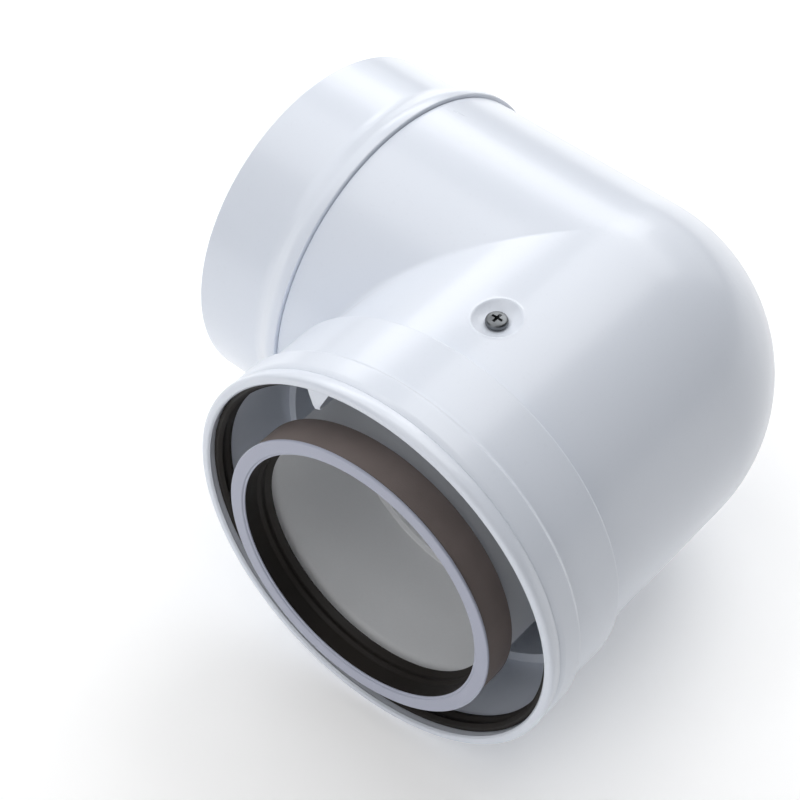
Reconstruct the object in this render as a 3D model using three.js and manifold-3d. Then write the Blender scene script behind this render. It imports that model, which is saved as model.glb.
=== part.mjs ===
// A twin-wall flue elbow: an 80 mm flue pipe inside a 110 mm air pipe, turning through 87 degrees.
// Millimetres, +Z up. The elbow lies on its side: both pipe axes are level and cross at the bend centre.
// The socket leg runs from the bend centre along -Y, and the spigot leg runs roughly along -X.
// Each leg is drawn about its own Y axis, with "out" as the distance from the bend centre.

import * as THREE from "three";
import { mergeVertices } from "three/addons/utils/BufferGeometryUtils.js";
import Module from "manifold-3d";

const wasm = await Module();
wasm.setup();

// ---- driving dimensions ----
const GAP = 0.3; // clearance left between pieces that touch
const TURN_DEG = 87; // how far the flue turns
const SIDES = 48; // flat sides of a round piece
const CUT = 2; // how far a cutting tool runs past the face it cuts

const AIR_PIPE_R = 55; // outside of the 110 mm air pipe
const FLUE_PIPE_R = 40; // outside of the 80 mm flue pipe
const FLUE_BORE_R = 38.2;

const BODY_R = 57.7; // outside of the outer elbow
const BODY_BORE_R = AIR_PIPE_R + GAP;
const SOCKET_R = 60.85; // the wider stretch that takes the next air pipe
const SOCKET_BORE_R = 58.35;
const SOCKET_START = 63.5; // where the body steps up to it, which is also the air pipe's stop
const SHOULDER_OUT = 82.9; // the second step, up to the band that holds the seal
const BAND_R = 62.7;
const BAND_BORE_R = 61.2;
const BAND_END = 91.2;
const SEAL_SEAT = 88.3;

const RIM_R = 62.8; // the white ring that closes the socket and holds the seal
const RIM_FRONT = 96;
const RIM_MOUTH_R = 59.66;
const RIM_SEAT_R = 60;
const TAB_TURN_DEG = 19.8; // the locating tab sits this far from the top, towards the inside of the bend
const TAB_TIP_R = 53;
const TAB_DEPTH = 9;
const TAB_THICK = 2.2;
const TAB_WEB_WIDTH = 9; // where the web across the tab's front meets the rim
const TAB_WEB_THICK = 0.9;

const BODY_END = 67.7; // the other end of the body, on the spigot leg
const SLEEVE_COLLAR_R = 59; // the sleeve's collar, which stands proud of the body
const SLEEVE_COLLAR_WIDTH = 3.4;
const SLEEVE_TAPER = 6.6; // length of the slope from the collar down to the pipe
const SLEEVE_WALL = 2.2;
const SLEEVE_END = 103.2;
const SLEEVE_START = 48;

const COLLAR_FRONT = 101.94; // front of the ring on the inner socket, which stands out of the rim
const COLLAR_R = 45.95;
const COLLAR_BORE_R = 41.1;
const COLLAR_THICK = 0.9;
const TONGUE_R = 43.5; // middle of the tongue that seats the ring in the inner seal
const INNER_SEAL_R = 45.5;
const INNER_SEAL_BACK = 90.5;
const INNER_LIP_R = 39.3;
const BELL_BORE_R = 42.8; // the inner socket's flared end, which the inner seal folds over
const FLUE_SOCKET_R = 42.6; // the inner elbow's socket, which takes the next flue pipe
const FLUE_SOCKET_BORE_R = 40.7;
const FLUE_STOP = 56;
const BEND_R = 44; // centre line radius of the inner bend
const BEND_STEPS = 10;
const INNER_SPIGOT_END = 108.2;
const INNER_JOINT = 66; // end of the cup that takes the inner spigot tube
const INNER_JOINT_STOP = 50;

const SCREW_OUT = 44; // the two fixing screws, above and below the socket leg
const SCREW_TURNS_DEG = [-2, 182]; // from the top, towards the inside of the bend
const SCREW_HEAD_R = 3.25;
const SCREW_HEAD_HEIGHT = 2;
const SCREW_SHANK_R = 1.6;
const SCREW_LENGTH = 12;
const DISH_R = 7.4;
const DISH_DEPTH = 2.7;
const PAD_R = 8.6;
const POST_R = 4.5;

const SPACER_OUT = 86; // star-shaped spacer between the two spigot tubes
const SPACER_WIDTH = 9;
const SPACER_FINS = 4;
const FIN_THICK = 1.8;

const radians = THREE.MathUtils.degToRad;

// ---- materials ----
const material = (color, roughness, metalness = 0) =>
  new THREE.MeshStandardMaterial({ color, roughness, metalness });
const whiteShell = material(0xe9ecf4, 0.28);
const greyPlastic = material(0xdcdee0, 0.5);
const lilacPlastic = material(0xb4b8cc, 0.4);
const rubber = material(0x1b1614, 0.6);
const zinc = material(0xb9bcc0, 0.35, 0.9);

// ---- helpers ----

// Turns an outline of [radius, out] pairs round the leg's axis. A closed outline makes a ring.
function turned(outline, { closed = true, sides = SIDES } = {}) {
  const points = outline.map(([radius, out]) => new THREE.Vector2(radius, -out));
  if (closed) points.push(points[0].clone());
  return solidOf(new THREE.LatheGeometry(points, sides));
}

// A plain tube between two distances.
const tube = (bore, radius, from, to) =>
  turned([
    [bore, from],
    [bore, to],
    [radius, to],
    [radius, from],
  ]);

// A plain round bar between two distances.
const bar = (radius, from, to) =>
  turned(
    [
      [0, to],
      [radius, to],
      [radius, from],
      [0, from],
    ],
    { closed: false },
  );

// Points on a round stretch of an outline, from one angle to another, in degrees.
function arc(centreRadius, centreOut, radius, fromDeg, toDeg, steps) {
  return Array.from({ length: steps + 1 }, (_, i) => {
    const angle = radians(fromDeg + ((toDeg - fromDeg) * i) / steps);
    return [centreRadius + radius * Math.cos(angle), centreOut + radius * Math.sin(angle)];
  });
}

// A closed geometry as a solid that faces out.
function solidOf(geometry) {
  const bare = geometry.index ? geometry.toNonIndexed() : geometry.clone();
  bare.deleteAttribute("normal");
  bare.deleteAttribute("uv");
  const merged = mergeVertices(bare, 1e-4);
  const corners = merged.index.array;
  const faces = [];
  for (let i = 0; i < corners.length; i += 3) {
    const [a, b, c] = corners.subarray(i, i + 3);
    if (a !== b && b !== c && c !== a) faces.push(a, b, c);
  }
  const build = (triangles) =>
    new wasm.Manifold(
      new wasm.Mesh({
        numProp: 3,
        vertProperties: merged.attributes.position.array,
        triVerts: new Uint32Array(triangles),
      }),
    );
  const made = build(faces);
  return made.volume() > 0 ? made : build(faces.reverse());
}

function geometryOf(solid) {
  const { vertProperties, triVerts } = solid.getMesh();
  const indexed = new THREE.BufferGeometry()
    .setAttribute("position", new THREE.BufferAttribute(vertProperties, 3))
    .setIndex(new THREE.BufferAttribute(triVerts, 1));
  const flat = indexed.toNonIndexed();
  flat.computeVertexNormals();
  return flat;
}

function piece(name, solid, look) {
  const mesh = new THREE.Mesh(geometryOf(solid), look);
  mesh.name = name;
  return mesh;
}

const moved = (solid, x, y, z) => solid.translate([x, y, z]);

// Turns a solid about the leg's own axis, from the top towards -X.
const turnedFromTop = (solid, degrees) => solid.rotate([0, -degrees, 0]);

const box = (x, y, z) => solidOf(new THREE.BoxGeometry(x, y, z));

// A round bar that stands upright.
function upright(radius, low, high, sides = 24) {
  const bar = new THREE.CylinderGeometry(radius, radius, high - low, sides);
  bar.rotateX(Math.PI / 2);
  bar.translate(0, 0, (low + high) / 2);
  return solidOf(bar);
}

// A radial fin, upright at the top of a leg, between two radii and two distances.
function fin(lowRadius, highRadius, from, to, thickness) {
  const plate = box(thickness, to - from, highRadius - lowRadius);
  return moved(plate, 0, -(from + to) / 2, (lowRadius + highRadius) / 2);
}

// Swings a solid drawn on the socket leg round to the spigot leg.
const swing = (solid) => solid.rotate([0, 0, TURN_DEG - 180]);

// The socket leg as a solid bar: its outline, closed by a half ball round the bend centre.
const legBar = (outline, ballRadius) =>
  turned([...outline, ...arc(0, 0, ballRadius, 0, -90, 12)], { closed: false });

// ---- outer elbow body ----

// Radius of the ball whose cap is the dish round each screw.
const dishBallR = () => (DISH_R ** 2 + DISH_DEPTH ** 2) / (2 * DISH_DEPTH);

function outerBody() {
  const socketOutside = legBar(
    [
      [0, BAND_END],
      [BAND_R - 0.7, BAND_END],
      [BAND_R, BAND_END - 0.9],
      [BAND_R, SHOULDER_OUT + 0.6],
      [BAND_R - 0.5, SHOULDER_OUT],
      [SOCKET_R, SHOULDER_OUT - 1.2],
      [SOCKET_R, SOCKET_START],
      [SOCKET_R - 0.6, SOCKET_START - 0.6],
      [BODY_R, SOCKET_START - 1.4],
    ],
    BODY_R,
  );
  const socketInside = legBar(
    [
      [0, BAND_END + CUT],
      [BAND_BORE_R, BAND_END + CUT],
      [BAND_BORE_R, SEAL_SEAT],
      [SOCKET_BORE_R, SEAL_SEAT],
      [SOCKET_BORE_R, SOCKET_START],
      [BODY_BORE_R, SOCKET_START],
    ],
    BODY_BORE_R,
  );
  const spigotOutside = swing(bar(BODY_R, 0, BODY_END));
  const spigotInside = swing(bar(BODY_BORE_R, 0, BODY_END + CUT));
  let body = socketOutside.add(spigotOutside).subtract(socketInside.add(spigotInside));

  const padUnderside = BODY_BORE_R - DISH_DEPTH;
  const ballR = dishBallR();
  const dishBall = solidOf(new THREE.SphereGeometry(ballR, 32, 24).rotateX(Math.PI / 2));
  const dish = moved(dishBall, 0, 0, BODY_R - DISH_DEPTH + ballR);
  const pad = upright(PAD_R, padUnderside, BODY_BORE_R + 0.6);
  const screwHole = upright(SCREW_SHANK_R + GAP, 0, BODY_R + CUT);
  for (const turn of SCREW_TURNS_DEG) {
    const place = (solid) => turnedFromTop(moved(solid, 0, -SCREW_OUT, 0), turn);
    body = body.add(place(pad)).subtract(place(dish)).subtract(place(screwHole));
  }
  return body;
}

// ---- ring that closes the socket, with its locating tab ----

// The web across the front of the tab, which widens towards the rim.
function tabWeb(front) {
  const half = TAB_THICK / 2;
  const corners = [
    [-half, TAB_TIP_R + 1],
    [half, TAB_TIP_R + 1],
    [TAB_WEB_WIDTH - half, RIM_MOUTH_R + 1],
    [-half, RIM_MOUTH_R + 1],
  ];
  const outline = new THREE.Shape(corners.map(([x, y]) => new THREE.Vector2(x, y)));
  const web = new THREE.ExtrudeGeometry(outline, { depth: TAB_WEB_THICK, bevelEnabled: false });
  return moved(solidOf(web.rotateX(Math.PI / 2)), 0, TAB_WEB_THICK - front, 0);
}

function socketRing() {
  const back = BAND_END + GAP;
  const ring = turned([
    [RIM_SEAT_R, SEAL_SEAT + GAP],
    [RIM_SEAT_R, RIM_FRONT - 1.2],
    [RIM_MOUTH_R, RIM_FRONT - 0.8],
    [RIM_MOUTH_R + 0.8, RIM_FRONT],
    ...arc(RIM_R - 1.2, RIM_FRONT - 1.2, 1.2, 90, 0, 4),
    [RIM_R, back + 1.3],
    [RIM_R - 0.9, back],
    [BAND_BORE_R - GAP, back],
    [BAND_BORE_R - GAP, SEAL_SEAT + GAP],
  ]);
  const front = RIM_FRONT - 0.8;
  const hook = fin(TAB_TIP_R, RIM_MOUTH_R - 2.6, front - TAB_DEPTH, front, TAB_THICK);
  return ring.add(turnedFromTop(hook.add(tabWeb(front)), TAB_TURN_DEG));
}

// ---- rubber lip seal of the air pipe ----
function outerSeal() {
  const back = SEAL_SEAT + GAP;
  const front = RIM_FRONT - 1.2 - GAP - 0.9;
  return turned([
    [RIM_SEAT_R - GAP, back + 0.1],
    [RIM_SEAT_R - GAP, front],
    [58.6, front],
    [57.6, front - 1.2],
    [58.4, front - 2],
    [58.4, front - 2.8],
    [57.4, back + 0.9],
    [57.5, back + 0.1],
  ]);
}

// ---- spigot sleeve ----
function spigotSleeve() {
  const bore = AIR_PIPE_R - SLEEVE_WALL;
  const collarStart = BODY_END + GAP;
  const collarEnd = collarStart + SLEEVE_COLLAR_WIDTH;
  return turned([
    [bore, SLEEVE_START],
    [bore, SLEEVE_END],
    [AIR_PIPE_R - 0.5, SLEEVE_END],
    [AIR_PIPE_R, SLEEVE_END - 0.6],
    [AIR_PIPE_R, collarEnd + SLEEVE_TAPER],
    [SLEEVE_COLLAR_R, collarEnd],
    [SLEEVE_COLLAR_R, collarStart + 0.5],
    [SLEEVE_COLLAR_R - 0.5, collarStart],
    [AIR_PIPE_R, collarStart],
    [AIR_PIPE_R, SLEEVE_START],
  ]);
}

// ---- inner elbow ----

// The centre line of the inner bend, from the socket leg to the spigot leg.
class BendLine extends THREE.Curve {
  getPoint(t, target = new THREE.Vector3()) {
    const tangentLength = BEND_R * Math.tan(radians(TURN_DEG / 2));
    const angle = radians(TURN_DEG) * t;
    return target.set(-BEND_R + BEND_R * Math.cos(angle), -tangentLength + BEND_R * Math.sin(angle), 0);
  }
}

// A round bar along the bend.
function bendBar(radius) {
  const section = new THREE.Shape();
  section.absarc(0, 0, radius, 0, 2 * Math.PI);
  return solidOf(
    new THREE.ExtrudeGeometry(section, {
      steps: BEND_STEPS,
      curveSegments: SIDES / 2,
      extrudePath: new BendLine(),
    }),
  );
}

function innerElbow() {
  const bellR = INNER_SEAL_R - 1.5;
  const bellFront = COLLAR_FRONT - 3.9;
  const bendEnd = BEND_R * Math.tan(radians(TURN_DEG / 2));
  const outlineBar = (outline) => turned(outline, { closed: false });
  const socketOutside = outlineBar([
    [0, bellFront],
    [bellR, bellFront],
    [bellR, INNER_SEAL_BACK],
    [FLUE_SOCKET_R, INNER_SEAL_BACK - 2],
    [FLUE_SOCKET_R, FLUE_STOP - 2],
    [FLUE_PIPE_R, FLUE_STOP - 5],
    [FLUE_PIPE_R, bendEnd - 0.5],
    [0, bendEnd - 0.5],
  ]);
  const socketInside = outlineBar([
    [0, bellFront + CUT],
    [BELL_BORE_R, bellFront + CUT],
    [BELL_BORE_R, INNER_SEAL_BACK],
    [FLUE_SOCKET_BORE_R, INNER_SEAL_BACK - 2],
    [FLUE_SOCKET_BORE_R, FLUE_STOP],
    [FLUE_BORE_R, FLUE_STOP],
    [FLUE_BORE_R, bendEnd - 1],
    [0, bendEnd - 1],
  ]);
  const cupR = FLUE_PIPE_R + 2.4;
  const cupOutside = outlineBar([
    [0, INNER_JOINT],
    [cupR, INNER_JOINT],
    [cupR, INNER_JOINT_STOP],
    [FLUE_PIPE_R, INNER_JOINT_STOP - 3],
    [FLUE_PIPE_R, bendEnd - 0.5],
    [0, bendEnd - 0.5],
  ]);
  const cupInside = outlineBar([
    [0, INNER_JOINT + CUT],
    [FLUE_PIPE_R + GAP, INNER_JOINT + CUT],
    [FLUE_PIPE_R + GAP, INNER_JOINT_STOP],
    [FLUE_BORE_R, INNER_JOINT_STOP],
    [FLUE_BORE_R, bendEnd - 1],
    [0, bendEnd - 1],
  ]);
  let elbow = socketOutside.add(bendBar(FLUE_PIPE_R)).add(swing(cupOutside));

  const postTop = BODY_BORE_R - DISH_DEPTH - GAP;
  const post = upright(POST_R, FLUE_BORE_R + 0.8, postTop);
  const pilot = upright(SCREW_SHANK_R + GAP, FLUE_PIPE_R + 1, postTop + CUT);
  for (const turn of SCREW_TURNS_DEG) {
    elbow = elbow.add(turnedFromTop(moved(post, 0, -SCREW_OUT, 0), turn));
    elbow = elbow.subtract(turnedFromTop(moved(pilot, 0, -SCREW_OUT, 0), turn));
  }
  return elbow.subtract(socketInside).subtract(bendBar(FLUE_BORE_R)).subtract(swing(cupInside));
}

const innerSpigotTube = () =>
  tube(FLUE_BORE_R, FLUE_PIPE_R, INNER_JOINT_STOP + GAP, INNER_SPIGOT_END);

// ---- rubber seal that folds over the end of the inner socket, with a groove for the ring's tongue ----
function innerSeal() {
  const front = COLLAR_FRONT - COLLAR_THICK - GAP;
  const web = COLLAR_FRONT - 2.6;
  const legR = INNER_SEAL_R - 1.2;
  return turned([
    [INNER_SEAL_R, INNER_SEAL_BACK],
    [legR, INNER_SEAL_BACK],
    [legR, web - 1],
    [BELL_BORE_R - GAP, web - 1],
    [BELL_BORE_R - GAP, INNER_SEAL_BACK + 0.9],
    [INNER_LIP_R + 0.5, INNER_SEAL_BACK + 0.9],
    [INNER_LIP_R, INNER_SEAL_BACK + 1.5],
    [INNER_LIP_R + 1.6, INNER_SEAL_BACK + 3.2],
    [INNER_LIP_R + 1.2, INNER_SEAL_BACK + 4.4],
    [INNER_LIP_R + 2, INNER_SEAL_BACK + 5.6],
    [INNER_LIP_R + 2, front],
    [TONGUE_R - 0.5 - GAP, front],
    [TONGUE_R - 0.5 - GAP, web],
    [TONGUE_R + 0.5 + GAP, web],
    [TONGUE_R + 0.5 + GAP, front],
    [INNER_SEAL_R, front],
  ]);
}

// ---- flat ring that closes the front of the inner seal ----
function collarRing() {
  const back = COLLAR_FRONT - COLLAR_THICK;
  const tongueBack = COLLAR_FRONT - 2.6 + GAP;
  return turned([
    [COLLAR_BORE_R, back],
    [COLLAR_BORE_R, COLLAR_FRONT - 0.5],
    [COLLAR_BORE_R + 0.5, COLLAR_FRONT - 0.5],
    [COLLAR_BORE_R + 0.8, COLLAR_FRONT],
    ...arc(COLLAR_R - 0.4, COLLAR_FRONT - 0.4, 0.4, 90, 0, 2),
    [COLLAR_R, back],
    [TONGUE_R + 0.5, back],
    [TONGUE_R + 0.5, tongueBack],
    [TONGUE_R - 0.5, tongueBack],
    [TONGUE_R - 0.5, back],
  ]);
}

// ---- star-shaped spacer between the spigot tubes ----
function spigotSpacer() {
  const hubR = FLUE_PIPE_R + 1.8;
  const end = SPACER_OUT + SPACER_WIDTH;
  const finTip = AIR_PIPE_R - SLEEVE_WALL - GAP;
  let spacer = tube(FLUE_PIPE_R + GAP, hubR, SPACER_OUT, end);
  for (let i = 0; i < SPACER_FINS; i += 1) {
    const star = fin(hubR - 0.8, finTip, SPACER_OUT, end, FIN_THICK);
    spacer = spacer.add(turnedFromTop(star, (360 / SPACER_FINS) * (i + 0.5)));
  }
  return spacer;
}

// ---- self-tapping screw with a cross recess, upright with its head's seat at zero ----
function fixingScrew() {
  const screw = new THREE.LatheGeometry(
    [
      [0, -SCREW_LENGTH],
      [SCREW_SHANK_R * 0.7, 2 - SCREW_LENGTH],
      [SCREW_SHANK_R, 3.5 - SCREW_LENGTH],
      [SCREW_SHANK_R, 0],
      [SCREW_HEAD_R, 0],
      [SCREW_HEAD_R, SCREW_HEAD_HEIGHT * 0.4],
      [SCREW_HEAD_R * 0.8, SCREW_HEAD_HEIGHT * 0.85],
      [SCREW_HEAD_R * 0.5, SCREW_HEAD_HEIGHT],
      [0, SCREW_HEAD_HEIGHT],
    ].map(([radius, height]) => new THREE.Vector2(radius, height)),
    24,
  ).rotateX(Math.PI / 2);
  const slot = moved(box(SCREW_HEAD_R * 1.1, 0.8, 2.4), 0, 0, SCREW_HEAD_HEIGHT);
  return solidOf(screw).subtract(slot).subtract(slot.rotate([0, 0, 90]));
}

// ---- assembly ----
const socketLeg = new THREE.Group();
const spigotLeg = new THREE.Group();
spigotLeg.rotation.z = radians(TURN_DEG - 180);

socketLeg.add(
  piece("outer_elbow_body", outerBody(), whiteShell),
  piece("outer_socket_ring", socketRing(), whiteShell),
  piece("outer_socket_seal", outerSeal(), rubber),
  piece("inner_elbow", innerElbow(), greyPlastic),
  piece("inner_socket_seal", innerSeal(), rubber),
  piece("inner_socket_ring", collarRing(), lilacPlastic),
);
spigotLeg.add(
  piece("outer_spigot_sleeve", spigotSleeve(), whiteShell),
  piece("inner_spigot_tube", innerSpigotTube(), greyPlastic),
  piece("spigot_spacer", spigotSpacer(), greyPlastic),
);

const screwSeat = BODY_R - DISH_DEPTH + SCREW_HEAD_R ** 2 / (2 * dishBallR()) + GAP;
const screwSolid = moved(fixingScrew(), 0, -SCREW_OUT, screwSeat);
["fixing_screw_top", "fixing_screw_bottom"].forEach((name, i) => {
  socketLeg.add(piece(name, turnedFromTop(screwSolid, SCREW_TURNS_DEG[i]), zinc));
});

// The group's origin ends up under the middle of the elbow's box, on the surface that it lies on.
const elbow = new THREE.Group();
elbow.add(socketLeg, spigotLeg);
elbow.updateMatrixWorld(true);
const bounds = new THREE.Box3().setFromObject(elbow, true);
const middle = bounds.getCenter(new THREE.Vector3());
elbow.position.set(-middle.x, -middle.y, -bounds.min.z);

export default elbow;
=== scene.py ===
"""Twin-wall flue elbow: the finished look of every piece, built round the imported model.

Each leg of the elbow has its own axes: X is level, Y is up and Z runs out from the bend centre,
where the two pipe axes cross. An outline is a list of (radius, out, rounding) in millimetres,
and rounding is how much of the corner is taken off.
"""

import math

import bmesh
import bpy
from bpy.props import FloatProperty, FloatVectorProperty, IntProperty, PointerProperty
from mathutils import Matrix, Vector


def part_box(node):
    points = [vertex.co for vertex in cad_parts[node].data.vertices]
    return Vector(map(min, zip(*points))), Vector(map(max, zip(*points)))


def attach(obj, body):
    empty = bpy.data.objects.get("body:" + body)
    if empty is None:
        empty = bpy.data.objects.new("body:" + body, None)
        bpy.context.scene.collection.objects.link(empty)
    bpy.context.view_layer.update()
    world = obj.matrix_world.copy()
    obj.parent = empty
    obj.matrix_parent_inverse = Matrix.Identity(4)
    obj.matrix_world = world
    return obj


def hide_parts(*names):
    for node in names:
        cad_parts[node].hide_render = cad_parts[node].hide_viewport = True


bl_info = {
    "name": "Flue Elbow",
    "version": (1, 0, 0),
    "blender": (4, 5, 0),
    "location": "View3D > Sidebar > Flue Elbow",
    "description": "Builds a twin-wall flue elbow with its seals, screws and studio",
    "category": "Add Mesh",
}

MM = 0.001
TURN = math.radians(87)
RIM_FRONT = 96 * MM

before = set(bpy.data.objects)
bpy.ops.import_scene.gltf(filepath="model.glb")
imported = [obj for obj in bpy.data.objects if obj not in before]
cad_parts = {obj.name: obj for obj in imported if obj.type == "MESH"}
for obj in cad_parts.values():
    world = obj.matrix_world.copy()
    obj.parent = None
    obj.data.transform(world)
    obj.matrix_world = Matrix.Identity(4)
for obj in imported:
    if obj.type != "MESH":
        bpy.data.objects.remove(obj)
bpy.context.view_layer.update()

# The socket's rim ring is centred on the socket axis, and its front is 96 mm from the bend centre.
ring_low, ring_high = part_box("outer_socket_ring")
BEND_CENTRE = Vector(
    (
        (ring_low.x + ring_high.x) / 2,
        ring_low.y + RIM_FRONT,
        (ring_low.z + ring_high.z) / 2,
    )
)
UP = Vector((0, 0, 1))
SOCKET_OUT = Vector((0, -1, 0))
SPIGOT_OUT = Matrix.Rotation(TURN - math.pi, 3, "Z") @ SOCKET_OUT


def leg_axes(out):
    """The matrix from a leg's own axes to the frame."""
    level = UP.cross(out)
    axes = Matrix((level, UP, out)).transposed()
    return Matrix.Translation(BEND_CENTRE) @ axes.to_4x4()


SOCKET = leg_axes(SOCKET_OUT)
SPIGOT = leg_axes(SPIGOT_OUT)

SCREW_OUT = 44  # the fixing screws stand above and below the socket leg
SCREW_LEAN = 2  # degrees that both lean towards the outside of the bend
SCREW_SIDES = {"top": 1, "bottom": -1}


def screw_axes(side):
    """The matrix of one side's fixing screw: Z points out along it from the socket's axis."""
    lean = Matrix.Rotation(math.radians(-SCREW_LEAN * side), 4, "Z")
    upright = Matrix.Rotation(math.radians(-90 * side), 4, "X")
    return SOCKET @ lean @ Matrix.Translation((0, 0, SCREW_OUT * MM)) @ upright


# ---- sizes and outlines, in millimetres ----

SHELL_R = 57.7
SHELL_BORE_R = 55.3
AIR_PIPE_R = 55
FLUE_PIPE_R = 40
FLUE_BORE_R = 38.2
SPIGOT_JOINT = 67.8  # where the outer shell ends on the spigot leg

SHELL_SOCKET_BORE = [
    (SHELL_BORE_R, 63.5, 0.2),
    (58.35, 63.5, 0.3),
    (58.35, 88.3, 0.3),
    (61.2, 88.3, 0.1),
    (61.2, 91.2, 0.25),
]
SHELL_SOCKET_OUTSIDE = [
    (62.1, 91.2, 0.05),
    (62.7, 90.0, 0.7),
    (62.7, 83.1, 0.5),
    (60.85, 81.6, 0.6),
    (60.85, 63.1, 0.6),
    (SHELL_R, 62.0, 0.5),
]
SHELL_SPIGOT_BORE = [(SHELL_BORE_R, SPIGOT_JOINT, 0.3)]
SHELL_SPIGOT_OUTSIDE = [(SHELL_R, SPIGOT_JOINT, 0.1)]

SLEEVE = [
    (52.8, 48, 0.3),
    (52.8, 103.2, 0.4),
    (AIR_PIPE_R, 103.2, 0.7),
    (AIR_PIPE_R, 78, 2.5),
    (59, 71.4, 1.5),
    (59, 68, 0.5),
    (AIR_PIPE_R, 68, 0.1),
    (AIR_PIPE_R, 48, 0.4),
]
SOCKET_RING = [
    (60, 88.6, 0.1),
    (60, 94.9, 0),
    (59.7, 95.25, 0.15),
    (60.3, 96, 0.3),
    (62.8, 96, 1.2),
    (62.8, 93.4, 1.0),
    (62.1, 91.24, 0.05),
    (60.9, 91.24, 0.1),
    (60.9, 88.6, 0.1),
]
TAB_TURN = 19.8  # degrees from the top
TAB_HOOK = ((53, -1.1, 86.2), (57, 1.1, 95.1))  # its two far corners: radius, sideways, out
TAB_WEB = [(53.9, 1.2), (53.9, -1.2), (60.4, -7.9), (60.4, 1.2)]  # corners: radius, sideways
TAB_WEB_BACK = 94.3
TAB_WEB_THICK = 0.9
TAB_ROUNDING = 0.2
OUTER_SEAL = [
    (59.7, 88.7, 0.2),
    (59.7, 93.6, 0.2),
    (58.6, 93.6, 0.3),
    (57.5, 92.4, 0.25),
    (58.5, 91.5, 0.3),
    (58.4, 90.8, 0.3),
    (57.4, 89.6, 0.25),
    (57.5, 88.7, 0.2),
]
INNER_SEAL = [
    (45.5, 90.5, 0.3),
    (44.3, 90.5, 0.15),
    (44.3, 98.34, 0),
    (42.5, 98.34, 0),
    (42.5, 91.4, 0.3),
    (39.8, 91.4, 0.15),
    (39.3, 92.0, 0.15),
    (40.9, 93.7, 0.5),
    (40.5, 94.9, 0.3),
    (41.3, 96.1, 0.2),
    (41.3, 100.74, 0.2),
    (42.7, 100.74, 0),
    (42.7, 99.34, 0),
    (44.3, 99.34, 0),
    (44.3, 100.74, 0),
    (45.5, 100.74, 0.2),
]
INNER_RING = [
    (41.1, 101.04, 0.1),
    (41.1, 101.44, 0.15),
    (41.6, 101.44, 0.1),
    (41.9, 101.94, 0.2),
    (45.95, 101.94, 0.4),
    (45.95, 101.04, 0.15),
    (44.0, 101.04, 0),
    (44.0, 99.64, 0.1),
    (43.0, 99.64, 0.1),
    (43.0, 101.04, 0),
]
FLUE_SOCKET = [
    (FLUE_BORE_R, 56, 0.3),
    (40.7, 56, 0.4),
    (40.7, 88.5, 1.2),
    (42.8, 90.5, 1.2),
    (42.8, 98.04, 0.25),
    (44, 98.04, 0.25),
    (44, 90.5, 1.2),
    (42.6, 88.5, 1.2),
    (42.6, 54, 1.5),
    (FLUE_PIPE_R, 51, 1.5),
]
FLUE_CUP = [
    (FLUE_BORE_R, 50, 0.3),
    (40.3, 50, 0.3),
    (40.3, 66, 0.4),
    (42.4, 66, 0.4),
    (42.4, 50, 1.5),
    (FLUE_PIPE_R, 47, 1.5),
]
FLUE_SPIGOT = [
    (FLUE_BORE_R, 50.3, 0.3),
    (FLUE_BORE_R, 108.2, 0.3),
    (FLUE_PIPE_R, 108.2, 1.0),
    (FLUE_PIPE_R, 50.3, 0.3),
]
SPACER_BACK = 86
SPACER_FRONT = 95
SPACER_HUB = [
    (40.3, SPACER_BACK, 0.2),
    (40.3, SPACER_FRONT, 0.2),
    (41.8, SPACER_FRONT, 0.4),
    (41.8, SPACER_BACK, 0.4),
]
FIN_RADII = (41.4, 52.5)
FIN_TURNS = (45, 135, 225, 315)
BEND_START = 41.75  # where the inner pipe's bend begins on each leg
BEND_RADIUS = 44

SCREW_HOLE_R = 1.9
PAD_R = 8.6  # the pad inside the shell that a fixing screw goes through
PAD_FACE = 52.6  # its face, from the socket's axis
POST_GAP = 0.3  # left between the pad and the post behind it
MITRE_CUTS = (6.5, 5, 3.8, 2.9, 2.2, 1.6, 1.1, 0.7, 0.35, 0)  # lines of points beside the mitre
PATCH_STEPS = 12  # edges along a straight side of the patch opened for a dish
OUTER_PATCH = 9.5  # half the side of that patch
INNER_PATCH = 10.5


# ---- sizes and colours that a user would change ----


def length_setting(name, description, millimetres):
    return FloatProperty(
        name=name, description=description, default=millimetres * MM, unit="LENGTH"
    )


def colour_setting(name, description, default):
    return FloatVectorProperty(
        name=name, description=description, default=default, subtype="COLOR", min=0, max=1
    )


class FlueShellSettings(bpy.types.PropertyGroup):
    """Sizes of the white outer elbow."""

    outer_radius: length_setting(
        "Outside Radius", "Outside radius of the elbow's plain stretch", SHELL_R
    )
    bore_radius: length_setting(
        "Bore Radius", "Bore radius of the elbow's plain stretch", SHELL_BORE_R
    )
    crease_rounding: length_setting(
        "Crease Rounding", "Width of the hollow blend where the two legs meet", 3
    )
    dish_depth: length_setting("Dish Depth", "Depth of the dish round each fixing screw", 2.7)
    dish_radius: length_setting("Dish Radius", "Half the length of the dish along the leg", 7.4)
    segments: IntProperty(
        name="Segments", description="Steps round each outer piece", default=256, min=32
    )


class FluePipeSettings(bpy.types.PropertyGroup):
    """Sizes of the inner flue pipe and the star that centres it."""

    segments: IntProperty(
        name="Segments", description="Steps round each inner piece", default=160, min=32
    )
    bend_steps: IntProperty(
        name="Bend Steps", description="Steps along the inner bend", default=29, min=4
    )
    fin_thickness: length_setting("Fin Thickness", "Thickness of the spacer's fins", 1.8)


class FlueScrewSettings(bpy.types.PropertyGroup):
    """Sizes of the fixing screws."""

    head_radius: length_setting("Head Radius", "Radius of the pan head", 3.25)
    head_height: length_setting("Head Height", "Height of the pan head", 2)
    length: length_setting("Length", "Length under the head", 12)
    pitch: length_setting("Pitch", "Distance between threads", 1.3)
    seat_radius: length_setting(
        "Seat", "Distance from the pipe axis to the underside of the head", 55.76
    )


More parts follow.
